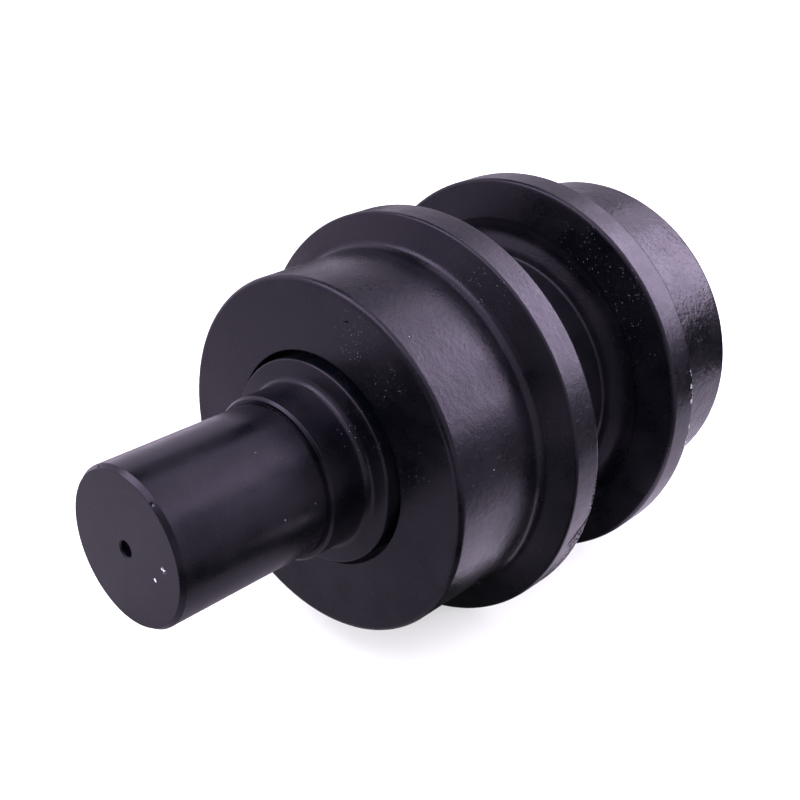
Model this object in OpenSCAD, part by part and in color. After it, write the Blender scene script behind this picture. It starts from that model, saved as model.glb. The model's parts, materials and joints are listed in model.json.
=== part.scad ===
// Cantilevered track roller: a flanged roller that turns on a shaft clamped at one end.
// Y runs along the shaft. Y = 0 is the inner end of the clamp seat on the stub, and the roller is on +Y.

/* [Shaft] */
// Diameter of the stub that the frame bracket clamps
stub_d = 50; // [46:0.5:51]
// Length of the stub, from its free end to the groove
stub_l = 53.5; // [40:0.5:90]
// Width of the relief groove between the stub and the seal collar
groove_w = 0.9; // [0.5:0.1:2]
// Diameter of the journal that runs in the bushings
journal_d = 55; // [53:0.5:56]
// Diameter of the tapped centre hole in the stub's end
centre_hole_d = 5; // [4:0.5:8]
// Depth of the tapped centre hole
centre_hole_l = 15; // [10:1:30]

/* [Seal collar] */
// Outer diameter of the collar's neck
neck_d = 54; // [53:0.5:58]
// Outer diameter of the collar's rim
collar_d = 68.5; // [67:0.5:70]
// Distance from the origin to the outer edge of the collar's rim
collar_rim_y = 16.8; // [14:0.2:18]
// Fillet between the neck and the rim
collar_fillet = 2.8; // [1:0.2:4]

/* [Roller] */
// Distance from the origin to the roller's near end face
body_y = 20; // [19:0.5:22]
// Length of the roller along the shaft
body_l = 152; // [150:1:156]
// Diameter of the two treads that the track links run on
tread_d = 120; // [112:1:130]
// Diameter of the two flanges
flange_d = 142; // [136:1:160]
// Width of each flange at its rim
flange_w = 12; // [8:0.5:16]
// Width of the valley between the flange rims
valley_w = 44.4; // [38:0.2:50]
// Diameter of the hub at the bottom of the valley
hub_d = 89; // [84:1:100]
// Draft of the flange sides that face the treads, in degrees
outer_draft = 20; // [10:1:24]
// Draft of the flange sides that face the valley, in degrees
inner_draft = 7; // [2:1:10]
// Slope of the outer wall of the forged hollow round each flange's valley side
hollow_wall = 30; // [15:1:30]
// Fillet between tread and flange
root_fillet = 3.5; // [2:0.5:5]
// Rounding of the tread's end corners
tread_round = 2; // [0.5:0.5:4]
// Diameter of the pocket around the seal collar
pocket_d = 72; // [71:0.5:76]

/* [Far end] */
// Diameter of the end cover's flange
cover_d = 104; // [102:1:106]
// Thickness of the end cover's flange
cover_t = 7; // [6:0.5:8]
// Number of bolts that hold the end cover
cover_bolt_count = 6; // [3:1:8]
// Thread diameter of the cover bolts
cover_bolt_d = 8; // [6:1:8]
// Number of bolts that hold the retainer plate to the shaft
retainer_bolt_count = 4; // [3:1:4]
// Thread diameter of the retainer bolts
retainer_bolt_d = 10; // [8:1:10]

/* [Fits] */
// Radial running clearance between journal and bushings
journal_gap = 0.05; // [0.02:0.01:0.1]
// Oil film between the two seal faces
seal_film = 0.05; // [0.02:0.01:0.1]
// End float on each side of the retainer plate
end_float = 0.2; // [0.1:0.05:0.4]
// Clearance around static pieces that only touch their seats
seat_gap = 0.02; // [0.01:0.01:0.05]

/* [Hidden] */
$fn = 96;

paint = [0.13, 0.125, 0.15];
steel = [0.62, 0.63, 0.65];
bronze = [0.71, 0.5, 0.25];
copper = [0.75, 0.42, 0.28];
rubber = [0.06, 0.06, 0.07];

stub_r = stub_d / 2;
stub_chamfer = 1.6;
stub_chamfer_depth = 1.1;
groove_depth = 0.7;
hole_countersink = 0.4;
journal_r = journal_d / 2;
journal_chamfer = 1;

collar_y = groove_w;
collar_r = collar_d / 2;
neck_r = neck_d / 2;
neck_chamfer = 0.8;
collar_cone = 0.9;
collar_edge = 0.8;
lip_edge = 0.5;
lip_y = 34.4;
cup_floor_y = 25;
pin_r = 3;
pin_y = 8;
pin_inner = 11;
pin_recess = 0.3;

seal_cavity_r = 31.8;
seal_face_y = 35;
seal_ring_w = 8;
seal_ring_inner_r = stub_r + 0.7;
seal_tail_r = 27.6;
seal_flange_r = 30.9;
seal_flange_w = 2.8;
toric_r = 2.05;
toric_ring_r = (seal_cavity_r + seal_tail_r) / 2;
toric_offset = 5.8;

o_ring_r = 1.2;
o_groove_w = 3.2;
collar_groove_y = 20;

centre_y = body_y + body_l / 2;
end_y = body_y + body_l;
tread_r = tread_d / 2;
flange_r = flange_d / 2;
hub_r = hub_d / 2;
pocket_r = pocket_d / 2;
pocket_floor_y = 36;
cavity_floor_y = 45;
rim_in = valley_w / 2;
rim_out = rim_in + flange_w;
root_out = rim_out + (flange_r - tread_r) * tan(outer_draft);
outer_rim_round = 1.2;
inner_rim_round = 1.5;
hub_fillet = 1.2;
edge_break = 0.5;

// Half the width of the valley at a radius, on the plain drafted side.
function valley_half(r) = rim_in - (flange_r - r) * tan(inner_draft);

// The hollow between each flange and the hub: a wall down, a round bottom and a ramp up to a lip.
hollow_ramp = 25;
hollow_outer_r = hub_r + 12.9;
hollow_lip_r = hub_r + 2.5;
hollow_rise = valley_half(hollow_outer_r) - valley_half(hollow_lip_r);
hollow_bottom_r =
    (hollow_rise + hollow_outer_r * tan(hollow_wall) + hollow_lip_r * tan(hollow_ramp))
    / (tan(hollow_wall) + tan(hollow_ramp));
hollow_wall_l = (hollow_outer_r - hollow_bottom_r) / cos(hollow_wall);
hollow_bottom = valley_half(hollow_outer_r) + hollow_wall_l * sin(hollow_wall);
hollow_round = 0.92 * hollow_wall_l / tan((hollow_wall + hollow_ramp) / 2);
hollow_edge_round = 0.3;
hollow_lip_round = 6;

bushing_r = 31;
bushing_l = 32;
bushing_chamfer = 0.8;
bushing_groove = 0.6;
reservoir_r = 33;
shoulder_y = 46;

recess_depth = 8 + cover_t;
recess_y = end_y - recess_depth;
recess_r = cover_d / 2 + 0.3;
spigot_r = 36;
spigot_l = 9;
thrust_w = 3;
retainer_t = 8;
spigot_y = recess_y - spigot_l;
outer_washer_y = spigot_y - thrust_w;
retainer_y = outer_washer_y - end_float - retainer_t;
inner_washer_y = retainer_y - end_float - thrust_w;
outboard_bushing_y = inner_washer_y - bushing_l;
inboard_bushing_y = shoulder_y + 0.5;
reservoir_y0 = inboard_bushing_y + bushing_l + 1;
reservoir_y1 = outboard_bushing_y - 1;

retainer_r = 34.5;
retainer_hole_r = 6;
retainer_circle = 15;
retainer_bolt_l = 30;
retainer_tap_l = 32;
retainer_head_w = 17;
retainer_head_h = 6.4;
retainer_washer_t = 2.2;
retainer_washer_r = 9;

thrust_r = 35.8;
inner_thrust_bore = journal_r + 0.7;
outer_thrust_bore = 26.2;
washer_pin_r = 1.5;
washer_pin_hole_r = 1.55;
washer_pin_depth = 4.8;
washer_pin_rise = 2.4;
inner_pin_circle = 33.5;
outer_pin_circle = 31;

cover_r = cover_d / 2;
cover_well_r = 26;
cover_well_l = 7;
cover_groove_y = spigot_y + 2.5;
cover_bolt_circle = 42.7;
cover_bolt_l = 25;
cover_tap_l = 18;
cover_head_w = 13;
cover_head_h = 5.3;
cover_washer_t = 1.8;
cover_washer_r = 7;
cover_face_y = recess_y + cover_t;
cover_well_y = spigot_y + cover_well_l;

plug_r = 7;
plug_head_w = 17;
plug_head_h = 5.5;
plug_washer_r = 10.5;
plug_washer_t = 1.5;

gallery_r = 4;
gallery_y = inboard_bushing_y + bushing_l / 2;
cross_hole_r = 2.5;

// Points of an arc that rounds corner b between a and c with radius rad.
function unit(v) = v / norm(v);
function flat(p) = [p[0], p[1]];
function turn(e, g, angle, t) = (sin((1 - t) * angle) * e + sin(t * angle) * g) / sin(angle);
function corner(a, b, c, rad, steps = 6) =
    let (
        u = unit(a - b),
        v = unit(c - b),
        half = acos(u * v) / 2,
        centre = b + unit(u + v) * rad / sin(half),
        e = unit(b + u * rad / tan(half) - centre),
        g = unit(b + v * rad / tan(half) - centre)
    )
    [for (i = [0:steps]) centre + rad * turn(e, g, 180 - 2 * half, i / steps)];

// An outline of [radius, y] or [radius, y, rounding] points, with its corners rounded.
function outline(p) =
    let (n = len(p))
    [for (i = [0:n - 1])
        each len(p[i]) == 2
            ? [p[i]]
            : corner(flat(p[(i + n - 1) % n]), flat(p[i]), flat(p[(i + 1) % n]), p[i][2])];

// A solid turned about the Y axis from its half section.
module turned(points) {
    rotate([-90, 0, 0])
        rotate_extrude()
            polygon(outline(points));
}

// A round bar along Y.
module bar(r, y0, y1) {
    translate([0, y0, 0])
        rotate([-90, 0, 0])
            cylinder(r = r, h = y1 - y0);
}

// A torus about the Y axis.
module torus(ring_r, cord_r, y) {
    translate([0, y, 0])
        rotate([-90, 0, 0])
            rotate_extrude()
                translate([ring_r, 0])
                    circle(r = cord_r);
}

// Copies spaced evenly about the Y axis.
module around(count, radius) {
    for (i = [0:count - 1])
        rotate([0, 360 * i / count, 0])
            translate([radius, 0, 0])
                children();
}

// A hexagon head bolt along Y, with its head on the +Y side of head_y.
module hex_bolt(thread_d, length, head_w, head_h, head_y) {
    bar(thread_d / 2 - seat_gap, head_y - length, head_y);
    translate([0, head_y, 0])
        rotate([-90, 0, 0])
            cylinder(d = head_w / cos(30), h = head_h, $fn = 6);
}

// A flat ring about its own Y axis.
module washer(inner_r, outer_r, y, t) {
    turned([[inner_r, y], [outer_r, y], [outer_r, y + t], [inner_r, y + t]]);
}

// The shaft: clamped stub, collar seat, journal, and its oil gallery.
module shaft() {
    color(paint)
        difference() {
            turned([
                [0, -stub_l],
                [stub_r - stub_chamfer_depth, -stub_l],
                [stub_r, -stub_l + stub_chamfer],
                [stub_r, 0],
                [stub_r - groove_depth, 0],
                [stub_r - groove_depth, groove_w],
                [stub_r, groove_w],
                [stub_r, shoulder_y],
                [journal_r - edge_break, shoulder_y],
                [journal_r, shoulder_y + edge_break],
                [journal_r, retainer_y - journal_chamfer],
                [journal_r - journal_chamfer, retainer_y],
                [0, retainer_y]
            ]);
            bar(centre_hole_d / 2, -stub_l - 1, -stub_l + centre_hole_l);
            translate([0, -stub_l, 0])
                rotate([-90, 0, 0])
                    cylinder(r1 = centre_hole_d / 2 + hole_countersink, r2 = centre_hole_d / 2,
                             h = hole_countersink);
            bar(gallery_r, gallery_y, retainer_y + 1);
            for (y = [gallery_y, outboard_bushing_y + bushing_l / 2])
                translate([0, y, 0])
                    rotate([0, 45, 0])
                        cylinder(r = cross_hole_r, h = 2 * journal_r + 2, center = true);
            around(retainer_bolt_count, retainer_circle)
                bar(retainer_bolt_d / 2, retainer_y - retainer_tap_l + retainer_t + retainer_washer_t,
                    retainer_y + 1);
            translate([0, pin_y, -pin_inner])
                rotate([180, 0, 0])
                    cylinder(r = pin_r, h = stub_r);
        }
}

// The collar pressed on the shaft: it holds the fixed half of the face seal in its cup.
module seal_collar() {
    color(paint)
        difference() {
            turned([
                [stub_r, collar_y],
                [neck_r - neck_chamfer, collar_y],
                [neck_r, collar_y + neck_chamfer],
                [neck_r, collar_rim_y - collar_cone, collar_fillet],
                [collar_r, collar_rim_y, collar_edge],
                [collar_r, lip_y, lip_edge],
                [seal_cavity_r, lip_y],
                [seal_cavity_r, cup_floor_y],
                [stub_r, cup_floor_y],
                [stub_r, collar_groove_y + o_groove_w],
                [stub_r + 2 * o_ring_r, collar_groove_y + o_groove_w],
                [stub_r + 2 * o_ring_r, collar_groove_y],
                [stub_r, collar_groove_y]
            ]);
            translate([0, pin_y, -pin_inner])
                rotate([180, 0, 0])
                    cylinder(r = pin_r, h = neck_r);
        }
}

// The pin that stops the collar from turning on the shaft.
module collar_pin() {
    color(steel)
        translate([0, pin_y, -pin_inner])
            rotate([180, 0, 0])
                cylinder(r = pin_r - seat_gap, h = neck_r - pin_inner - pin_recess);
}

// The O-ring between collar and shaft.
module collar_o_ring() {
    color(rubber)
        torus(stub_r + o_ring_r, o_ring_r - seat_gap, collar_groove_y + o_groove_w / 2);
}

// A metal face-seal ring, with its running face at y and its tail away from it on side +1 or -1.
module seal_ring(y, side) {
    back = y + side * seal_ring_w;
    flange_back = y + side * seal_flange_w;
    color(steel)
        turned([
            [seal_ring_inner_r, y],
            [seal_flange_r, y],
            [seal_flange_r, flange_back],
            [seal_tail_r, flange_back],
            [seal_tail_r, back],
            [seal_ring_inner_r, back]
        ]);
}

// The rubber toric ring that carries a metal seal ring.
module toric_ring(y) {
    color(rubber)
        torus(toric_ring_r, toric_r, y);
}

module fixed_seal_ring() {
    seal_ring(seal_face_y - seal_film / 2, -1);
}

module fixed_toric_ring() {
    toric_ring(seal_face_y - toric_offset);
}

module rotating_seal_ring() {
    seal_ring(seal_face_y + seal_film / 2, 1);
}

module rotating_toric_ring() {
    toric_ring(seal_face_y + toric_offset);
}

// The plate on the shaft's far end that keeps the roller on the shaft.
module retainer_plate() {
    color(steel)
        difference() {
            turned([
                [retainer_hole_r, retainer_y],
                [retainer_r, retainer_y, edge_break],
                [retainer_r, retainer_y + retainer_t, edge_break],
                [retainer_hole_r, retainer_y + retainer_t]
            ]);
            around(retainer_bolt_count, retainer_circle)
                bar(retainer_bolt_d / 2 + 0.5, retainer_y - 1, retainer_y + retainer_t + 1);
        }
}

module retainer_bolts() {
    color(steel)
        around(retainer_bolt_count, retainer_circle)
            hex_bolt(retainer_bolt_d, retainer_bolt_l, retainer_head_w, retainer_head_h,
                     retainer_y + retainer_t + retainer_washer_t);
}

module retainer_lock_washers() {
    color(steel)
        around(retainer_bolt_count, retainer_circle)
            washer(retainer_bolt_d / 2 + 0.1, retainer_washer_r, retainer_y + retainer_t, retainer_washer_t);
}

// One side of the valley from the flange rim down to the hub: radius, half width, rounding.
valley_side = [
    [hollow_outer_r, valley_half(hollow_outer_r), hollow_edge_round],
    [hollow_bottom_r, hollow_bottom, hollow_round],
    [hollow_lip_r, valley_half(hollow_lip_r), hollow_lip_round],
    [hub_r, valley_half(hub_r), hub_fillet]
];

// The forged roller: two treads, two flanges, the valley between them, and the bored inside.
module roller_shell() {
    color(paint)
        difference() {
            turned([
                [pocket_r + edge_break, body_y],
                [tread_r, body_y, tread_round],
                [tread_r, centre_y - root_out, root_fillet],
                [flange_r, centre_y - rim_out, outer_rim_round],
                [flange_r, centre_y - rim_in, inner_rim_round],
                for (p = valley_side) [p[0], centre_y - p[1], p[2]],
                for (i = [1:len(valley_side)])
                    let (p = valley_side[len(valley_side) - i]) [p[0], centre_y + p[1], p[2]],
                [flange_r, centre_y + rim_in, inner_rim_round],
                [flange_r, centre_y + rim_out, outer_rim_round],
                [tread_r, centre_y + root_out, root_fillet],
                [tread_r, end_y, tread_round],
                [recess_r, end_y],
                [recess_r, recess_y],
                [spigot_r, recess_y],
                [spigot_r, inner_washer_y],
                [bushing_r, inner_washer_y],
                [bushing_r, reservoir_y1],
                [reservoir_r, reservoir_y1 - 2],
                [reservoir_r, reservoir_y0 + 2],
                [bushing_r, reservoir_y0],
                [bushing_r, cavity_floor_y],
                [seal_cavity_r, cavity_floor_y],
                [seal_cavity_r, pocket_floor_y],
                [pocket_r, pocket_floor_y],
                [pocket_r, body_y + edge_break]
            ]);
            around(cover_bolt_count, cover_bolt_circle)
                bar(cover_bolt_d / 2, recess_y - cover_tap_l, recess_y + 1);
            around(2, inner_pin_circle)
                bar(washer_pin_r, inner_washer_y - washer_pin_depth, inner_washer_y + 1);
        }
}

// A bronze bushing that starts at y, with an oil groove round the middle of its bore.
module bushing(y) {
    bore = journal_r + journal_gap;
    mid = y + bushing_l / 2;
    color(bronze)
        turned([
            [bore, y],
            [bushing_r - bushing_chamfer, y],
            [bushing_r, y + bushing_chamfer],
            [bushing_r, y + bushing_l - bushing_chamfer],
            [bushing_r - bushing_chamfer, y + bushing_l],
            [bore, y + bushing_l],
            [bore, mid + 3],
            [bore + bushing_groove, mid + 2],
            [bore + bushing_groove, mid - 2],
            [bore, mid - 3]
        ]);
}

module inboard_bushing() {
    bushing(inboard_bushing_y);
}

module outboard_bushing() {
    bushing(outboard_bushing_y);
}

// A bronze thrust washer with two holes for its pins.
module thrust_washer(bore, y, pin_circle) {
    color(bronze)
        difference() {
            washer(bore, thrust_r, y, thrust_w);
            around(2, pin_circle)
                bar(washer_pin_hole_r, y - 1, y + thrust_w + 1);
        }
}

module inner_thrust_washer() {
    thrust_washer(inner_thrust_bore, inner_washer_y, inner_pin_circle);
}

module inner_washer_pins() {
    color(steel)
        around(2, inner_pin_circle)
            bar(washer_pin_r - seat_gap, inner_washer_y - washer_pin_depth, inner_washer_y + washer_pin_rise);
}

module outer_thrust_washer() {
    thrust_washer(outer_thrust_bore, outer_washer_y, outer_pin_circle);
}

module outer_washer_pins() {
    color(steel)
        around(2, outer_pin_circle)
            bar(washer_pin_r - seat_gap, spigot_y - washer_pin_rise, spigot_y + washer_pin_depth);
}

// The cover that closes the roller's far end.
module end_cover() {
    color(paint)
        difference() {
            turned([
                [plug_r, cover_well_y],
                [cover_well_r, cover_well_y],
                [cover_well_r, spigot_y],
                [spigot_r - seat_gap, spigot_y],
                [spigot_r - seat_gap, cover_groove_y],
                [spigot_r - 2 * o_ring_r, cover_groove_y],
                [spigot_r - 2 * o_ring_r, cover_groove_y + o_groove_w],
                [spigot_r - seat_gap, cover_groove_y + o_groove_w],
                [spigot_r - seat_gap, recess_y],
                [cover_r, recess_y],
                [cover_r, cover_face_y, edge_break],
                [plug_r, cover_face_y]
            ]);
            around(cover_bolt_count, cover_bolt_circle)
                bar(cover_bolt_d / 2 + 0.3, recess_y - 1, cover_face_y + 1);
            around(2, outer_pin_circle)
                bar(washer_pin_r, spigot_y - 1, spigot_y + washer_pin_depth);
        }
}

module cover_o_ring() {
    color(rubber)
        torus(spigot_r - o_ring_r, o_ring_r - seat_gap, cover_groove_y + o_groove_w / 2);
}

module cover_bolts() {
    color(paint)
        around(cover_bolt_count, cover_bolt_circle)
            hex_bolt(cover_bolt_d, cover_bolt_l, cover_head_w, cover_head_h, cover_face_y + cover_washer_t);
}

module cover_bolt_washers() {
    color(paint)
        around(cover_bolt_count, cover_bolt_circle)
            washer(cover_bolt_d / 2 + 0.1, cover_washer_r, cover_face_y, cover_washer_t);
}

// The plug that closes the oil filling hole at the cover's centre.
module oil_plug() {
    color(paint)
        hex_bolt(2 * plug_r, cover_face_y + plug_washer_t - cover_well_y, plug_head_w, plug_head_h,
                 cover_face_y + plug_washer_t);
}

module oil_plug_washer() {
    color(copper)
        washer(plug_r + 0.1, plug_washer_r, cover_face_y, plug_washer_t);
}

shaft();
seal_collar();
collar_pin();
collar_o_ring();
fixed_seal_ring();
fixed_toric_ring();
retainer_plate();
retainer_bolts();
retainer_lock_washers();
roller_shell();
inboard_bushing();
outboard_bushing();
rotating_seal_ring();
rotating_toric_ring();
inner_thrust_washer();
inner_washer_pins();
outer_thrust_washer();
outer_washer_pins();
end_cover();
cover_o_ring();
cover_bolts();
cover_bolt_washers();
oil_plug();
oil_plug_washer();
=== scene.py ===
"""A cantilevered track roller in black paint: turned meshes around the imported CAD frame, and a studio.

Lengths are in millimetres until a mesh is made, where MM turns them into metres. Y runs along the shaft.
"""

import json
import math

import bmesh
import bpy
from mathutils import Matrix, Vector, noise


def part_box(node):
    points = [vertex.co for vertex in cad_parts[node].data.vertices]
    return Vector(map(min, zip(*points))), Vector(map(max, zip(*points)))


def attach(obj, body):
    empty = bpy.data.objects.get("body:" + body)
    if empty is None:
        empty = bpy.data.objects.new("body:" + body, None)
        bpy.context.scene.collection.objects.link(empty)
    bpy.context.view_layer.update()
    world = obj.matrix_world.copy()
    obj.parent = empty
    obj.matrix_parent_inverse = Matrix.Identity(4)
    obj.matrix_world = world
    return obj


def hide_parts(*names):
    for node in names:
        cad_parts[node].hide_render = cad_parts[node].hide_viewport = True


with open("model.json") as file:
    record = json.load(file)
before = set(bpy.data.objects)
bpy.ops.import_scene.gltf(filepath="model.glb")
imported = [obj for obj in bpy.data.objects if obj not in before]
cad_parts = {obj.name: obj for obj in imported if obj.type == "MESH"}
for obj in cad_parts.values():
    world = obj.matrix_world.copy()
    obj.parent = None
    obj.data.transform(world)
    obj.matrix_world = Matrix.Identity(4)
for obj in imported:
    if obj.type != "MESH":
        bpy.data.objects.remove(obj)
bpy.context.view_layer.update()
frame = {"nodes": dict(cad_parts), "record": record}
nodes = frame["nodes"]

MM = 0.001
UP = Vector((0, 0, 1))


# ---------------------------------------------------------------- sizes that the CAD model sets

def low(node):
    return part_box(node)[0] / MM


def high(node):
    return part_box(node)[1] / MM


stub_end_y = low("shaft").y
stub_r = 25
journal_r = high("shaft").x
shaft_far_y = high("shaft").y
shoulder_y = 46
groove_w = low("seal_collar").y

neck_r = 27
collar_r = high("seal_collar").x
collar_rim_y = 16.8
lip_y = high("seal_collar").y
cup_floor_y = 25
seal_cavity_r = high("fixed_toric_ring").x + 0.05

body_y = low("roller_shell").y
end_y = high("roller_shell").y
centre_y = (body_y + end_y) / 2
flange_r = high("roller_shell").x
tread_r = 60
hub_r = 44.5
pocket_r = 36
pocket_floor_y = 36
cavity_floor_y = 45
rim_in = 22.2
rim_out = 34.2
root_out = rim_out + (flange_r - tread_r) * math.tan(math.radians(20))

bushing_r = high("inboard_bushing").x
reservoir_r = 33
reservoir_y0 = high("inboard_bushing").y + 1
reservoir_y1 = low("outboard_bushing").y - 1
washer_seat_y = low("inner_thrust_washer").y
spigot_r = 36
spigot_y = low("end_cover").y
recess_y = low("cover_bolt_washers").y - 7
cover_r = high("end_cover").x
recess_r = cover_r + 0.3
cover_face_y = high("end_cover").y
bolt_circle = 42.7
bolt_count = 6


# ---------------------------------------------------------------- turned meshes

def corner_arc(before, at, after, radius, steps):
    """Points [r, y] of the arc that rounds the corner at `at`."""
    b, a, c = (Vector(p[:2]) for p in (at, before, after))
    u, v = (a - b).normalized(), (c - b).normalized()
    half = u.angle(v) / 2
    centre = b + (u + v).normalized() * radius / math.sin(half)
    start = b + u * radius / math.tan(half) - centre
    end = b + v * radius / math.tan(half) - centre
    return [list(centre + start.slerp(end, i / steps) * radius) for i in range(steps + 1)]


def outline(points, edge, steps=6):
    """Rounds each corner of a closed [r, y, rounding] outline: edge is the rounding where none is given."""
    made = []
    for i, p in enumerate(points):
        radius = p[2] if len(p) > 2 else edge
        if radius and p[0] > 0:
            made += corner_arc(points[i - 1], p, points[(i + 1) % len(points)], radius, steps)
        else:
            made.append(list(p[:2]))
    return made


def divided(points, step, fine):
    """Splits the long runs of an outline, with a narrow strip beside each corner that keeps flats flat."""
    made = []
    for a, b in zip(points, points[1:] + points[:1]):
        made.append(a)
        if a[0] < 1e-6 and b[0] < 1e-6:
            continue
        length = math.dist(a, b)
        if length < 4 * fine:
            continue
        count = max(1, round((length - 2 * fine) / step(a, b)))
        stops = [fine + (length - 2 * fine) * i / count for i in range(count + 1)]
        made += [[a[k] + (b[k] - a[k]) * s / length for k in (0, 1)] for s in stops]
    return made


def turned(name, points, segments=256, edge=0.15, step=lambda a, b: 4, fine=0.15, steps=6):
    """A mesh object turned about the Y axis from a closed half section of [r, y, rounding] points in mm."""
    rows = divided(outline(points, edge, steps), step, fine)
    bm = bmesh.new()
    rings = []
    for r, y in rows:
        if r < 1e-6:
            rings.append([bm.verts.new((0, y * MM, 0))])
            continue
        angles = [2 * math.pi * i / segments for i in range(segments)]
        rings.append([bm.verts.new((r * MM * math.cos(t), y * MM, r * MM * math.sin(t))) for t in angles])
    for a, b in zip(rings, rings[1:] + rings[:1]):
        if len(a) == 1 and len(b) == 1:
            continue
        for i in range(segments):
            j = (i + 1) % segments
            corners = [a[i % len(a)], a[j % len(a)], b[j % len(b)], b[i % len(b)]]
            bm.faces.new(list(dict.fromkeys(corners)))
    bmesh.ops.recalc_face_normals(bm, faces=bm.faces)
    return as_object(bm, name)


def as_object(bm, name):
    """A smooth shaded mesh object made from a bmesh."""
    for face in bm.faces:
        face.smooth = True
    mesh = bpy.data.meshes.new(name)
    bm.to_mesh(mesh)
    bm.free()
    made = bpy.data.objects.new(name, mesh)
    bpy.context.scene.collection.objects.link(made)
    return made


def drilled(piece, holes, sides=32):
    """Cuts round holes: each is (start, end, radius) in mm."""
    bm = bmesh.new()
    for start, end, radius in holes:
        start, end = Vector(start) * MM, Vector(end) * MM
        turn = (end - start).to_track_quat("Z", "Y").to_matrix().to_4x4()
        turn.translation = (start + end) / 2
        bmesh.ops.create_cone(
            bm, cap_ends=True, segments=sides, radius1=radius * MM, radius2=radius * MM,
            depth=(end - start).length, matrix=turn)
    cutter = as_object(bm, "cutter")
    cut = piece.modifiers.new("holes", "BOOLEAN")
    cut.operation, cut.solver, cut.object = "DIFFERENCE", "EXACT", cutter
    shape = piece.evaluated_get(bpy.context.evaluated_depsgraph_get())
    piece.data = bpy.data.meshes.new_from_object(shape)
    piece.modifiers.clear()
    bpy.data.objects.remove(cutter)
    return piece


def around(count, radius):
    """Centres [x, z] spaced evenly about the Y axis, as the CAD model spaces them."""
    angles = [2 * math.pi * i / count for i in range(count)]
    return [(radius * math.cos(t), -radius * math.sin(t)) for t in angles]


def along(places, y0, y1, radius):
    """Holes along Y at [x, z] places."""
    return [((x, y0, z), (x, y1, z), radius) for x, z in places]


def repeated(piece, places):
    """One piece made of copies of a piece on the axis, moved to [x, z] places."""
    bm = bmesh.new()
    for x, z in places:
        copy = piece.data.copy()
        turn = Matrix.Rotation(math.atan2(-z, x), 4, "Y")
        copy.transform(Matrix.Translation((x * MM, 0, z * MM)) @ turn)
        bm.from_mesh(copy)
    bm.to_mesh(piece.data)
    bm.free()
    return piece


def hex_bolt(name, head_w, head_y, top_y, shank_r, shank_y):
    """A hexagon head with a chamfered crown on a round shank, about the Y axis."""
    crown_r = 0.94 * head_w / 2
    slope = math.tan(math.radians(30))
    segments = 72

    def hexagon(angle):
        return head_w / 2 / math.cos((angle % (math.pi / 3)) - math.pi / 6)

    def ring(radius_at, y_at):
        made = []
        for i in range(segments):
            t = 2 * math.pi * i / segments
            r = radius_at(t)
            made.append(bm.verts.new((r * MM * math.cos(t), y_at(r) * MM, r * MM * math.sin(t))))
        return made

    bm = bmesh.new()
    rings = [
        ring(lambda t: crown_r * 0.6, lambda r: top_y),
        ring(lambda t: crown_r, lambda r: top_y),
        ring(hexagon, lambda r: top_y - (r - crown_r) * slope),
        ring(hexagon, lambda r: head_y + 0.3),
        ring(lambda t: hexagon(t) - 0.2, lambda r: head_y),
        ring(lambda t: shank_r, lambda r: head_y),
        ring(lambda t: shank_r, lambda r: shank_y + 0.8),
        ring(lambda t: shank_r - 0.8, lambda r: shank_y),
    ]
    for a, b in zip(rings, rings[1:]):
        for i in range(segments):
            j = (i + 1) % segments
            bm.faces.new([a[i], a[j], b[j], b[i]])
    bm.faces.new(rings[0])
    bm.faces.new(rings[-1])
    bmesh.ops.recalc_face_normals(bm, faces=bm.faces)
    made = as_object(bm, name)
    bevel = made.modifiers.new("soft_edges", "BEVEL")
    bevel.width, bevel.segments, bevel.limit_method = 0.25 * MM, 3, "ANGLE"
    bevel.angle_limit = math.radians(24)
    bevel.harden_normals = True
    return made


# ---------------------------------------------------------------- waves and marks in the meshes

def blend(low_end, high_end, value):
    """Smooth step from 0 at low_end to 1 at high_end."""
    t = min(1, max(0, (value - low_end) / (high_end - low_end)))
    return t * t * (3 - 2 * t)


def wavy(piece, depth, length, outside_of):
    """Gentle waves of a forged surface, in mm, on the parts of a turned piece beyond a radius."""
    bm = bmesh.new()
    bm.from_mesh(piece.data)
    bm.normal_update()
    moves = []
    for v in bm.verts:
        at = v.co / MM
        reach = blend(outside_of, outside_of + 4, math.hypot(at.x, at.z))
        height = noise.noise(at / length) + 0.5 * noise.noise(at / length * 2.3 + Vector((7, 3, 5)))
        moves.append(v.normal * (height * depth * reach * MM))
    for v, move in zip(bm.verts, moves):
        v.co += move
    bm.to_mesh(piece.data)
    bm.free()
    return piece


def marked(piece, segments, inside, cuts, depth_at):
    """Makes a turned mesh finer where inside(at) holds, and sinks it by depth_at(at), all in mm."""
    bm = bmesh.new()
    bm.from_mesh(piece.data)
    edges = [e for e in bm.edges if all(inside(v.co / MM) for v in e.verts)]
    bmesh.ops.subdivide_edges(bm, edges=edges, cuts=cuts, use_grid_fill=True)
    bmesh.ops.triangulate(bm, faces=[f for f in bm.faces if len(f.verts) > 4])
    turn = 2 * math.pi / segments
    near = [v for v in bm.verts if inside(v.co / MM)]
    for v in near:
        angle = math.atan2(v.co.z, v.co.x) % turn
        out = math.cos(angle - turn / 2) / math.cos(turn / 2)
        v.co.x *= out
        v.co.z *= out
    bm.normal_update()
    moves = [v.normal * (-depth_at(v.co / MM) * MM) for v in near]
    for v, move in zip(near, moves):
        v.co += move
    for face in bm.faces:
        face.smooth = True
    bm.to_mesh(piece.data)
    bm.free()
    return piece


def nick(at, centre, along, length, width, depth):
    """How deep a boat shaped nick is at a point."""
    offset = at - Vector(centre)
    run = offset.dot(Vector(along).normalized()) / (length / 2)
    across = math.sqrt(max(0, offset.length_squared - (run * length / 2) ** 2)) / (width / 2)
    return depth * (1 - blend(0.3, 1, math.hypot(run, across)))


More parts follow.
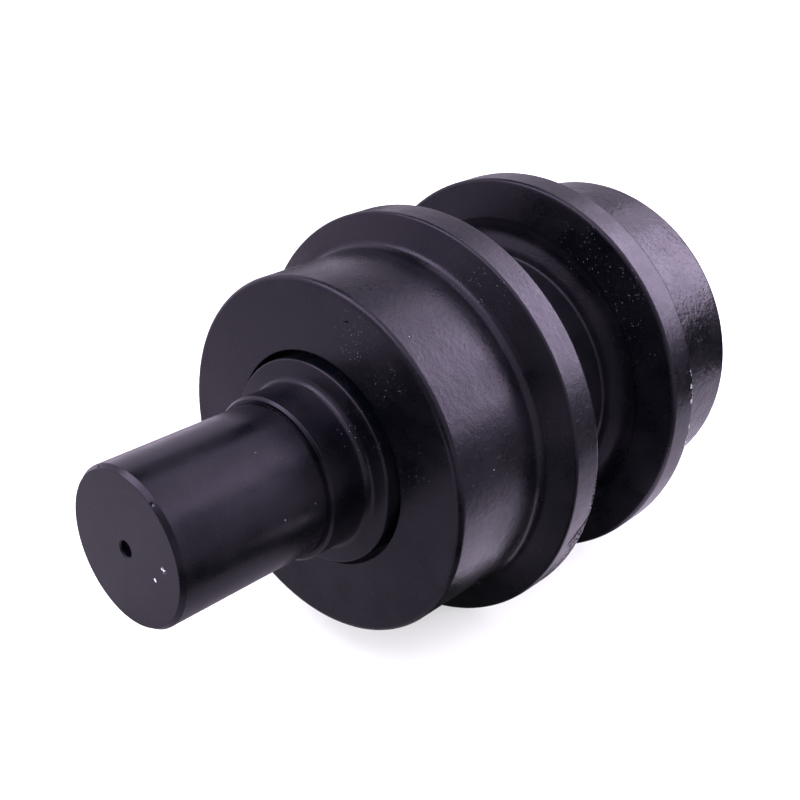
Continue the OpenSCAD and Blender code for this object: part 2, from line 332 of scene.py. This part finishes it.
def angle_of(at):
    """Degrees about the Y axis, from +X towards +Z."""
    return math.degrees(math.atan2(at.z, at.x))


def ragged_rim(at):
    """The damaged inner edge of the near flange: nibbled, then cracked, then scored."""
    turn, r = angle_of(at), math.hypot(at.x, at.z)
    edge_y = centre_y - rim_in
    arc = math.radians(turn) * r
    to_edge = blend(edge_y - 2.4, edge_y - 0.2, at.y)
    nibbles = max(0, noise.noise(Vector((arc / 0.55, 3.1, at.y))) + 0.1)
    ragged = 1.8 * nibbles * to_edge * blend(-19, -15, turn) * blend(1, -2, turn)
    crack_y = edge_y - 0.6 - (-13 - turn) * 0.95 + 0.5 * noise.noise(Vector((arc / 1.4, 0, 9)))
    crack = 0.7 * blend(0.55, 0.15, abs(at.y - crack_y)) * blend(-21, -19.5, turn) * blend(-12, -13, turn)
    scores = noise.noise(Vector((arc / 0.5, at.y / 0.9, 2.5)))
    scored = max(0, scores - 0.08) * blend(-36, -31, turn) * blend(-15, -18, turn)
    return ragged + crack + scored * blend(edge_y - 8, edge_y - 5, at.y)


# ---------------------------------------------------------------- the visible pieces

def roller_step(a, b):
    """Fine rows on the outside of the roller, coarse ones in its bores."""
    outside = max(a[0], b[0]) > 40
    return 1.2 if outside else 5


def valley_half(r):
    """Half the width of the valley at a radius, on the plain drafted side."""
    return rim_in - (flange_r - r) * math.tan(math.radians(7))


def valley_side():
    """One side of the valley down to the hub, with its forged hollow: radius, half width, rounding."""
    wall, ramp = math.radians(30), math.radians(25)
    outer_r, lip_r = hub_r + 12.9, hub_r + 2.5
    rise = valley_half(outer_r) - valley_half(lip_r)
    slopes = math.tan(wall) + math.tan(ramp)
    bottom_r = (rise + outer_r * math.tan(wall) + lip_r * math.tan(ramp)) / slopes
    wall_l = (outer_r - bottom_r) / math.cos(wall)
    bottom_round = 0.92 * wall_l / math.tan((wall + ramp) / 2)
    return [
        (outer_r, valley_half(outer_r), 0.3),
        (bottom_r, valley_half(outer_r) + wall_l * math.sin(wall), bottom_round),
        (lip_r, valley_half(lip_r), 6),
        (hub_r, valley_half(hub_r), 1.2),
    ]


def make_roller():
    roller_segments = 384
    side = valley_side()
    body = turned("roller_body", [
        [pocket_r, body_y, 0.5],
        [tread_r, body_y, 2],
        [tread_r, centre_y - root_out, 3.5],
        [flange_r, centre_y - rim_out, 1.2],
        [flange_r, centre_y - rim_in, 1.5],
        *[[r, centre_y - half, rounding] for r, half, rounding in side],
        *[[r, centre_y + half, rounding] for r, half, rounding in reversed(side)],
        [flange_r, centre_y + rim_in, 1.5],
        [flange_r, centre_y + rim_out, 1.2],
        [tread_r, centre_y + root_out, 3.5],
        [tread_r, end_y, 2],
        [recess_r, end_y, 0.4],
        [recess_r, recess_y],
        [spigot_r, recess_y],
        [spigot_r, washer_seat_y],
        [bushing_r, washer_seat_y],
        [bushing_r, reservoir_y1],
        [reservoir_r, reservoir_y1 - 2],
        [reservoir_r, reservoir_y0 + 2],
        [bushing_r, reservoir_y0],
        [bushing_r, cavity_floor_y],
        [seal_cavity_r, cavity_floor_y],
        [seal_cavity_r, pocket_floor_y],
        [pocket_r, pocket_floor_y],
    ], segments=roller_segments, step=roller_step, steps=8)
    bolts = along(around(bolt_count, bolt_circle), recess_y - 18, recess_y + 1, 4)
    pins = along(around(2, 33.5), washer_seat_y - 4.8, washer_seat_y + 1, 1.5)
    drilled(body, bolts + pins)

    def rim_zone(at):
        beside = centre_y - rim_out + 1 < at.y < centre_y - rim_in + 1.5
        return beside and at.x > 0 and math.hypot(at.x, at.z) > flange_r - 2.5 and -43 < angle_of(at) < 3

    marked(body, roller_segments, rim_zone, 3, ragged_rim)
    spot = (14.7, body_y, 50.4)
    marked(body, roller_segments, lambda at: (at - Vector(spot)).length < 3, 9,
           lambda at: nick(at, spot, (1, 0, 0.35), 2.4, 0.8, 0.55))
    return wavy(body, 0.02, 7, outside_of=37)


def make_shaft():
    hole_r, hole_l, countersink = 2.5, 15, 0.4
    groove_r = stub_r - 0.7
    segments = 320
    shaft = turned("turned_shaft", [
        [hole_r + countersink, stub_end_y, 0.05],
        [stub_r - 1.1, stub_end_y, 0.2],
        [stub_r, stub_end_y + 1.6, 0.25],
        [stub_r, 0, 0.15],
        [groove_r, 0, 0.1],
        [groove_r, groove_w, 0.1],
        [stub_r, groove_w, 0.1],
        [stub_r, shoulder_y],
        [journal_r, shoulder_y],
        [journal_r, shaft_far_y, 1],
        [0, shaft_far_y],
        [0, stub_end_y + hole_l],
        [hole_r, stub_end_y + hole_l],
        [hole_r, stub_end_y + countersink, 0.05],
    ], segments=segments, step=lambda a, b: 1.2 if max(a[1], b[1]) < 1 else 6)
    gallery_y = (low("inboard_bushing").y + high("inboard_bushing").y) / 2
    outer_y = (low("outboard_bushing").y + high("outboard_bushing").y) / 2
    side = (journal_r + 1) * math.sqrt(0.5)
    cross = [((-side, y, -side), (side, y, side), 2.5) for y in (gallery_y, outer_y)]
    taps = along(around(4, 15), shaft_far_y - 22, shaft_far_y + 1, 5)
    pin = ((0, 8, -11), (0, 8, -stub_r - 2), 3)
    drilled(shaft, [((0, gallery_y, 0), (0, shaft_far_y + 1, 0), 4), *cross, *taps, pin])
    for spot in ((-9.6, stub_end_y + 0.5, 22.4), (14.2, stub_end_y + 0.2, 19.6)):
        marked(shaft, segments, lambda at: (at - Vector(spot)).length < 2, 4,
               lambda at: nick(at, spot, (-spot[2], 0, spot[0]), 1.8, 1.0, 0.35))
    return shaft


def make_collar():
    collar = turned("pressed_collar", [
        [stub_r, groove_w],
        [neck_r - 0.8, groove_w, 0.15],
        [neck_r, groove_w + 0.8, 0.3],
        [neck_r, collar_rim_y - 0.9, 2.8],
        [collar_r, collar_rim_y, 0.8],
        [collar_r, lip_y, 0.5],
        [seal_cavity_r, lip_y],
        [seal_cavity_r, cup_floor_y],
        [stub_r, cup_floor_y],
        [stub_r, 23.2],
        [stub_r + 2.4, 23.2],
        [stub_r + 2.4, 20],
        [stub_r, 20],
    ], segments=320, step=lambda a, b: 1.2)
    return drilled(collar, [((0, 8, -11), (0, 8, -neck_r - 2), 3)])


def make_cover():
    seat, depth = 0.02, 2.4
    cover = turned("far_cover", [
        [7, spigot_y + 7],
        [26, spigot_y + 7, 1],
        [26, spigot_y],
        [spigot_r - seat, spigot_y, 0.4],
        [spigot_r - seat, spigot_y + 2.5],
        [spigot_r - depth, spigot_y + 2.5],
        [spigot_r - depth, spigot_y + 5.7],
        [spigot_r - seat, spigot_y + 5.7],
        [spigot_r - seat, recess_y],
        [cover_r, recess_y],
        [cover_r, cover_face_y, 0.5],
        [7, cover_face_y, 0.4],
    ], segments=288, step=lambda a, b: 2, steps=5)
    bolts = along(around(bolt_count, bolt_circle), recess_y - 1, cover_face_y + 1, 4.3)
    pins = along(around(2, 31), spigot_y - 1, spigot_y + 4.8, 1.5)
    return drilled(cover, bolts + pins)


def make_cover_bolts():
    seat_y = high("cover_bolt_washers").y
    bolt = hex_bolt("cover_screws", 13, seat_y, high("cover_bolts").y, 3.98, low("cover_bolts").y)
    return repeated(bolt, around(bolt_count, bolt_circle))


def make_cover_washers():
    y0, y1 = low("cover_bolt_washers").y, high("cover_bolt_washers").y
    section = [[4.1, y0], [7, y0], [7, y1, 0.3], [4.1, y1]]
    ring = turned("cover_screw_washers", section, segments=64, step=lambda a, b: 3)
    return repeated(ring, around(bolt_count, bolt_circle))


def make_plug():
    seat_y = high("oil_plug_washer").y
    return hex_bolt("filler_plug", 17, seat_y, high("oil_plug").y, 6.98, low("oil_plug").y)


# ---------------------------------------------------------------- materials

def node(tree, kind, sockets=None, **properties):
    """Adds a shader node: a socket's value is a number, a colour, or the output that feeds it."""
    made = tree.nodes.new(kind)
    for key, value in properties.items():
        setattr(made, key, value)
    for key, value in (sockets or {}).items():
        if isinstance(value, bpy.types.NodeSocket):
            tree.links.new(value, made.inputs[key])
        else:
            made.inputs[key].default_value = value
    return made


def begin(name):
    """A new material: returns it, its node tree, and the place on the piece in mm."""
    material = bpy.data.materials.new(name)
    material.use_nodes = True
    tree = material.node_tree
    tree.nodes.clear()
    place = node(tree, "ShaderNodeTexCoord").outputs["Object"]
    mm = node(tree, "ShaderNodeMapping", {"Vector": place, "Scale": (1000, 1000, 1000)}).outputs[0]
    return material, tree, mm


def cloud(tree, mm, size, detail=2, low_end=0.3, high_end=0.7, to=(0, 1)):
    """Soft noise of a size in mm, stretched between two values."""
    made = node(tree, "ShaderNodeTexNoise", {"Vector": mm, "Scale": 1 / size, "Detail": detail})
    return ranged(tree, made.outputs["Fac"], (low_end, high_end), to)


def ranged(tree, value, source, to):
    """A smooth step of a value from one range to another."""
    made = node(tree, "ShaderNodeMapRange", {
        "Value": value, "From Min": source[0], "From Max": source[1], "To Min": to[0], "To Max": to[1],
    }, interpolation_type="SMOOTHSTEP")
    return made.outputs[0]


def math_node(tree, operation, a, b):
    return node(tree, "ShaderNodeMath", {0: a, 1: b}, operation=operation).outputs[0]


def times(tree, a, b):
    return math_node(tree, "MULTIPLY", a, b)


def plus(tree, a, b):
    return math_node(tree, "ADD", a, b)


def mixed(tree, factor, a, b):
    """Colour a where the factor is 0, and colour b where it is 1."""
    made = node(tree, "ShaderNodeMix", {0: factor, 6: a, 7: b}, data_type="RGBA")
    return made.outputs[2]


def from_axis(tree, mm):
    """The distance from the shaft's axis and the place along it, in mm."""
    flat = node(tree, "ShaderNodeVectorMath", {0: mm, 1: (1, 0, 1)}, operation="MULTIPLY").outputs[0]
    radius = node(tree, "ShaderNodeVectorMath", {0: flat}, operation="LENGTH").outputs["Value"]
    along_y = node(tree, "ShaderNodeSeparateXYZ", {"Vector": mm}).outputs["Y"]
    return radius, along_y


def distance_to(tree, mm, centre):
    return node(tree, "ShaderNodeVectorMath", {0: mm, 1: centre}, operation="DISTANCE").outputs["Value"]


def specks(tree, mm, spacing, radius, share):
    """Small round spots, spacing apart, in a share of the places."""
    cells = node(tree, "ShaderNodeTexVoronoi", {"Vector": mm, "Scale": 1 / spacing})
    size = radius / spacing
    round_spot = ranged(tree, cells.outputs["Distance"], (size, size * 0.6), (0, 1))
    pick = node(tree, "ShaderNodeSeparateColor", {"Color": cells.outputs["Color"]}).outputs[0]
    chosen = ranged(tree, pick, (1 - share, 1 - share + 0.03), (0, 1))
    return times(tree, round_spot, chosen)


def about(tree, mm, centre, radius, soft):
    """1 inside a ball about a point, falling to 0 over a soft edge."""
    return ranged(tree, distance_to(tree, mm, centre), (radius + soft, radius), (0, 1))


def flaked(tree, mm, radius, along_y, edge, place, reach):
    """1 on ragged flakes of paint lost from a rim's corner [r, y], near a place."""
    on_rim = ranged(tree, radius, (edge[0] - 0.9, edge[0] - 0.4), (0, 1))
    away = math_node(tree, "ABSOLUTE", math_node(tree, "SUBTRACT", along_y, edge[1]), 0)
    wander = cloud(tree, mm, 2.2, detail=3, to=(-1.2, 1.2))
    away = math_node(tree, "ABSOLUTE", math_node(tree, "SUBTRACT", away, wander), 0)
    at_corner = ranged(tree, away, (0.26, 0.08), (0, 0.7))
    torn = cloud(tree, mm, 0.9, detail=3, low_end=0.36, high_end=0.46)
    near = about(tree, mm, place, radius=reach * 0.6, soft=reach * 0.4)
    return times(tree, times(tree, on_rim, at_corner), times(tree, torn, near))


def most(tree, masks):
    """The strongest of several masks at each point."""
    total = masks[0]
    for mask in masks[1:]:
        total = math_node(tree, "MAXIMUM", total, mask)
    return total


def bumped(tree, height, depth, below=None):
    """A bump of a depth in mm, laid over the one below."""
    sockets = {"Height": height, "Distance": depth * MM, "Strength": 1}
    if below:
        sockets["Normal"] = below
    return node(tree, "ShaderNodeBump", sockets).outputs[0]


def finish(tree, colour, roughness, normal, **sockets):
    """Ends a material in one shader, with any other sockets set to constants."""
    shader = node(tree, "ShaderNodeBsdfPrincipled", {
        "Base Color": colour, "Roughness": roughness, "Normal": normal,
    })
    for key, value in sockets.items():
        shader.inputs[key.replace("_", " ")].default_value = value
    node(tree, "ShaderNodeOutputMaterial", {"Surface": shader.outputs[0]})


def black_paint(name, grain, peel, dusty, chips, flakes=()):
    """Satin black paint with orange peel, grain, dust near some points, chips, and flakes along rims."""
    material, tree, mm = begin(name)
    radius, along_y = from_axis(tree, mm)
    normal = node(tree, "ShaderNodeTexCoord").outputs["Normal"]
    facing = node(tree, "ShaderNodeSeparateXYZ", {"Vector": normal}).outputs["Y"]
    outward = ranged(tree, math_node(tree, "ABSOLUTE", facing, 0), (0.8, 0.3), (0.35, 1))
    turned_face = ranged(tree, radius, (tread_r - 3, tread_r - 0.5), (0.3, 1))
    valley = times(tree, ranged(tree, along_y, (centre_y - 29, centre_y - 24), (0, 1)),
                   ranged(tree, along_y, (centre_y + 29, centre_y + 24), (0, 1)))
    ring = times(tree, valley, ranged(tree, radius, (52.5, 49), (0, 1)))
    coarse = plus(tree, turned_face, times(tree, ring, 2.0))

    blotches = cloud(tree, mm, 14, detail=3)
    patches = cloud(tree, mm, 5, detail=2)
    film = cloud(tree, mm, 30, detail=4, low_end=0.45, high_end=0.75)
    clusters = most(tree, [about(tree, mm, c, r * 0.3, r * 0.9) for c, r in dusty])
    clusters = times(tree, clusters, cloud(tree, mm, 6, low_end=0.35, high_end=0.6))
    stray = specks(tree, mm, 3.1, 0.2, 0.03)
    gathered = times(tree, specks(tree, mm, 0.6, 0.11, 0.24), clusters)
    dust = most(tree, [stray, gathered])
    ragged = cloud(tree, mm, 0.7, detail=3, to=(-0.5, 0.5))
    chip_masks = []
    for centre, size in chips:
        away = plus(tree, distance_to(tree, mm, centre), times(tree, ragged, size * 0.8))
        chip_masks.append(ranged(tree, away, (size * 0.6, size * 0.4), (0, 1)))
    chip_masks += [flaked(tree, mm, radius, along_y, *flake) for flake in flakes]
    chipped = most(tree, chip_masks)

    colour = mixed(tree, blotches, (0.0006, 0.0009, 0.0019, 1), (0.0022, 0.0021, 0.0036, 1))
    colour = mixed(tree, times(tree, film, 0.3), colour, (0.012, 0.011, 0.014, 1))
    colour = mixed(tree, dust, colour, (0.4, 0.4, 0.42, 1))
    colour = mixed(tree, chipped, colour, (0.62, 0.62, 0.66, 1))
    roughness = plus(tree, ranged(tree, blotches, (0, 1), (0.23, 0.29)),
                     ranged(tree, patches, (0, 1), (-0.015, 0.015)))
    roughness = plus(tree, roughness, times(tree, ring, 0.12))
    roughness = plus(tree, roughness, ranged(tree, along_y, (centre_y + 36, centre_y + 46), (0.03, 0)))
    roughness = plus(tree, roughness, times(tree, most(tree, [dust, chipped]), 0.4))

    far = times(tree, ranged(tree, along_y, (centre_y + 42, centre_y + 50), (1, 2.4)), outward)
    waves = bumped(tree, times(tree, cloud(tree, mm, 9, detail=1), far), peel * 1.3)
    skin = bumped(tree, times(tree, cloud(tree, mm, 1.9, detail=2), far), peel * 1.1, waves)
    fine = times(tree, cloud(tree, mm, 0.55, detail=3), coarse)
    skin = bumped(tree, fine, grain, skin)
    drawn_out = node(tree, "ShaderNodeMapping", {"Vector": mm, "Scale": (1, 0.16, 1)}).outputs[0]
    scratches = cloud(tree, drawn_out, 0.5, detail=1, low_end=0.68, high_end=0.76)
    pits = most(tree, [specks(tree, mm, 1.7, 0.3, 0.3), scratches])
    skin = bumped(tree, times(tree, pits, turned_face), -grain * 2, skin)
    skin = bumped(tree, most(tree, [dust, chipped]), 0.03, skin)
    finish(tree, colour, roughness, skin, Specular_Tint=(0.93, 0.87, 1.03, 1))
    return material


def turned_steel(name, colour, roughness, grooves=0.3, metallic=1.0, stain=0.6):
    """Turned or ground metal: fine rings about the axis, clouds of stain and small scratches."""
    material, tree, mm = begin(name)
    radius, along_y = from_axis(tree, mm)
    rows = node(tree, "ShaderNodeCombineXYZ", {"X": radius, "Y": along_y}).outputs[0]
    rings = cloud(tree, rows, grooves, detail=2)
    tarnish = cloud(tree, mm, 8, detail=4, low_end=0.4, high_end=0.75)
    scratches = specks(tree, mm, 1.9, 0.2, 0.3)
    dark = [c * stain for c in colour]
    bright = [min(1, c * 1.3) for c in colour]
    shade = mixed(tree, tarnish, (*colour, 1), (*dark, 1))
    shade = mixed(tree, times(tree, scratches, 0.5), shade, (*bright, 1))
    gloss = plus(tree, ranged(tree, rings, (0, 1), (roughness - 0.05, roughness + 0.06)),
                 times(tree, tarnish, 0.1))
    skin = bumped(tree, rings, 0.006)
    skin = bumped(tree, scratches, -0.01, skin)
    finish(tree, shade, gloss, skin, Metallic=metallic)
    return material


def rubber(name):
    """Matt nitrile rubber with a moulded skin and a bloom of dust."""
    material, tree, mm = begin(name)
    bloom = cloud(tree, mm, 4, detail=4, low_end=0.45, high_end=0.8)
    pores = specks(tree, mm, 0.6, 0.1, 0.5)
    shade = mixed(tree, bloom, (0.012, 0.012, 0.013, 1), (0.045, 0.045, 0.047, 1))
    skin = bumped(tree, cloud(tree, mm, 0.4, detail=3), 0.01)
    skin = bumped(tree, pores, -0.02, skin)
    finish(tree, shade, ranged(tree, bloom, (0, 1), (0.55, 0.78)), skin)
    return material


# ---------------------------------------------------------------- assembly

roller_dust = [
    ((17, body_y, 46), 11),
    ((31, body_y, 35), 9),
    ((42, body_y, 12), 9),
    ((36, 60, 58), 14),
    ((45, 117, 42), 15),
    ((35, 117, 53), 19),
    ((54, 117, 26), 12),
]
worn_rims = [
    ((flange_r, centre_y + rim_out - 0.4), (70.5, 130, 0), 19),
    ((flange_r, centre_y - rim_in - 0.2), (70, 73, -9), 9),
]
roller_paint = black_paint("roller_paint", 0.014, 0.024, roller_dust, [((33, 60.6, 62), 0.35)], worn_rims)
shaft_paint = black_paint("shaft_paint", 0.003, 0.006, [((17, -9, 18.5), 3)], [
    ((17.2, stub_end_y, 0.6), 1.3),
    ((12.9, stub_end_y, -4.5), 0.7),
    ((-10.1, stub_end_y + 0.4, 22.6), 0.6),
    ((14.6, stub_end_y + 0.5, 19.6), 0.5),
    ((17.4, -6.8, 18), 0.2),
    ((20.6, -19.5, 14.1), 0.18),
    ((13.7, -16.3, 20.9), 0.18),
])
collar_paint = black_paint("collar_paint", 0.005, 0.01, [((24, 16, 19), 9)], [((27, 10, 9), 0.25)])
cover_paint = black_paint("cover_paint", 0.006, 0.014, [((0, cover_face_y, 40), 14)],
                          [((20, cover_face_y, 20), 0.5)])
screw_paint = black_paint("screw_paint", 0.004, 0.01, [((0, high("cover_bolts").y, 0), 8)],
                          [((43, high("cover_bolts").y, 4), 0.7), ((3, high("oil_plug").y, 5), 0.9)])
for piece, body, stands_for, paint in [
    (make_roller(), "roller", "roller_shell", roller_paint),
    (make_shaft(), "axle", "shaft", shaft_paint),
    (make_collar(), "axle", "seal_collar", collar_paint),
    (make_cover(), "roller", "end_cover", cover_paint),
    (make_cover_bolts(), "roller", "cover_bolts", screw_paint),
    (make_cover_washers(), "roller", "cover_bolt_washers", screw_paint),
    (make_plug(), "roller", "oil_plug", screw_paint),
]:
    piece.data.materials.append(paint)
    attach(piece, body)
    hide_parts(stands_for)

inner_materials = {
    "bare_steel": turned_steel("ground_steel", (0.56, 0.57, 0.58), 0.24),
    "bolt_steel": turned_steel("black_oxide", (0.05, 0.05, 0.055), 0.42, metallic=0.9, stain=0.7),
    "bronze": turned_steel("bearing_bronze", (0.66, 0.43, 0.2), 0.3, stain=0.55),
    "copper": turned_steel("soft_copper", (0.72, 0.35, 0.22), 0.33, stain=0.6),
    "seal_rubber": rubber("nitrile_rubber"),
}
slot_of = {row["node"]: row["material_slot"] for row in frame["record"]["subparts"]}
for name, piece in nodes.items():
    if not piece.hide_render:
        piece.data.materials.clear()
        piece.data.materials.append(inner_materials[slot_of[name]])


# ---------------------------------------------------------------- studio

def make_camera():
    azimuth, elevation, distance = math.radians(42.57), math.radians(24.84), 409
    aim = Vector((0, 59.3, 7.3))
    back = Vector((
        math.sin(azimuth) * math.cos(elevation),
        -math.cos(azimuth) * math.cos(elevation),
        math.sin(elevation),
    ))
    data = bpy.data.cameras.new("camera")
    data.lens = 54.53
    data.sensor_width = 36
    data.clip_start = 0.01
    made = bpy.data.objects.new("camera", data)
    made.location = (aim + back * distance) * MM
    made.rotation_euler = (-back).to_track_quat("-Z", "Y").to_euler()
    bpy.context.scene.collection.objects.link(made)
    bpy.context.scene.camera = made


def make_floor():
    """A pale round floor under the flanges that sweeps up into a wall all round."""
    flat_r, sweep_r, wall_top = 1.6, 0.5, 2.0
    segments, bend_steps = 128, 12
    bends = [math.pi / 2 * i / bend_steps for i in range(bend_steps + 1)]
    profile = [(flat_r + sweep_r * math.sin(b), sweep_r * (1 - math.cos(b))) for b in bends]
    profile.append((flat_r + sweep_r, wall_top))
    turns = [2 * math.pi * i / segments for i in range(segments)]
    bm = bmesh.new()
    rings = [[bm.verts.new((r * math.cos(t), r * math.sin(t), up - flange_r * MM)) for t in turns]
             for r, up in profile]
    bm.faces.new(rings[0])
    for lower, upper in zip(rings, rings[1:]):
        for i in range(segments):
            bm.faces.new((lower[i], lower[i - 1], upper[i - 1], upper[i]))
    floor = as_object(bm, "floor")
    material = bpy.data.materials.new("pale_floor")
    material.use_nodes = True
    shader = material.node_tree.nodes["Principled BSDF"]
    shader.inputs["Base Color"].default_value = (0.86, 0.86, 0.86, 1)
    shader.inputs["Roughness"].default_value = 0.9
    shader.inputs["Specular IOR Level"].default_value = 0.1
    floor.data.materials.append(material)
    floor.visible_glossy = False


def panel(name, centre, away, width, height, radiance, roll=0, tint=(1.0, 0.87, 1.13)):
    """A soft rectangular light, in metres, whose back points along `away`. The camera doesn't see it."""
    data = bpy.data.lights.new(name, "AREA")
    data.shape = "RECTANGLE"
    data.size, data.size_y = width, height
    data.energy = radiance * math.pi * width * height
    data.color = tint
    made = bpy.data.objects.new(name, data)
    made.location = centre
    turn = Vector(away).to_track_quat("Z", "Y").to_matrix() @ Matrix.Rotation(math.radians(roll), 3, "Z")
    made.rotation_euler = turn.to_euler()
    bpy.context.scene.collection.objects.link(made)
    made.visible_camera = False
    return made


def make_tent():
    """A light tent about the roller: pale walls, each of its own brightness, and a softbox in three parts."""
    wall, roof, ground = 0.55, 0.6, -flange_r * MM + 0.0005
    mid = 0.06
    key_face = (0.3, 0.6, 0.45)
    panel("key", (0.43, 0.73, 0.27), key_face, 0.49, 0.26, 5.0, roll=10)
    panel("key_over", (0.27, 0.67, 0.455), key_face, 0.44, 0.13, 5.0, roll=10)
    panel("key_top", (0.28, 0.55, 0.61), key_face, 0.74, 0.26, 0.9, roll=10)
    panel("back_high", (0.11, mid + wall, 0.43), (0, 1, 0), 0.44, 0.34, 2.1)
    panel("back_left", (-0.33, mid + wall, 0.265), (0, 1, 0), 0.44, 0.67, 0.6)
    panel("right", (wall, mid, 0.265), (1, 0, 0), 1.1, 0.67, 0.48)
    panel("left", (-wall, mid, 0.35), (-1, 0, 0), 1.1, 0.5, 0.8)
    panel("left_low", (-wall, -0.26, 0.014), (-1, 0, 0), 0.46, 0.17, 0.52)
    panel("left_low_back", (-wall, 0.19, 0.014), (-1, 0, 0), 0.44, 0.17, 1.25)
    panel("front_left", (-0.37, mid - wall, 0.265), (0, -1, 0), 0.37, 0.67, 0.6)
    panel("front", (0, mid - wall, 0.35), (0, -1, 0), 0.37, 0.5, 0.44)
    panel("roof_front_left", (-0.37, -0.31, roof), (0, 0, 1), 0.37, 0.37, 4.1)
    panel("roof_front", (0, -0.31, roof), (0, 0, 1), 0.37, 0.37, 2.6)
    panel("roof_front_right", (0.37, -0.31, roof), (0, 0, 1), 0.37, 0.37, 1.1)
    panel("roof_right", (0.18, 0.24, roof), (0, 0, 1), 0.73, 0.73, 1.05)
    panel("ground_back", (0.045, 0.24, ground), (0, 0, -1), 0.27, 0.18, 1.0)
    panel("ground_glow", (0.1, 0.107, ground), (0, 0, -1), 0.09, 0.09, 1.4)
    panel("ground_middle", (0, -0.03, ground), (0, 0, -1), 0.14, 0.12, 0.36)
    panel("ground_right", (0.225, 0.12, ground), (0, 0, -1), 0.09, 0.3, 0.15)
    panel("ground_front", (0, -0.15, ground), (0, 0, -1), 0.14, 0.12, 0.6)
    panel("ground_left", (-0.17, 0.06, ground), (0, 0, -1), 0.2, 0.54, 0.64)
    panel("ground_far_right", (0.41, -0.08, ground), (0, 0, -1), 0.28, 0.82, 0.38)
    panel("ground_far_back", (-0.09, 0.47, ground), (0, 0, -1), 0.36, 0.28, 0.22)
    panel("ground_far_left", (-0.41, 0.06, ground), (0, 0, -1), 0.28, 1.1, 0.5)
    panel("ground_far_front", (0, -0.35, ground), (0, 0, -1), 0.54, 0.28, 0.6)


def make_floor_light():
    """A wide light above the tent that turns the floor white, and casts no shadow and no reflection."""
    light = panel("floor_light", (0, 0, 1.5), (0, 0, 1), 5, 5, 1.5, tint=(1, 1, 1))
    light.visible_glossy = False
    light.data.use_shadow = False


def make_world(radiance):
    """An even grey beyond the tent's panels, dark enough to keep the paint black."""
    world = bpy.data.worlds.new("studio")
    world.use_nodes = True
    background = world.node_tree.nodes["Background"]
    background.inputs["Color"].default_value = (1, 1, 1, 1)
    background.inputs["Strength"].default_value = radiance
    bpy.context.scene.world = world


make_camera()
make_floor()
make_world(0.03)
make_tent()
make_floor_light()
bpy.context.scene.view_settings.view_transform = "Standard"
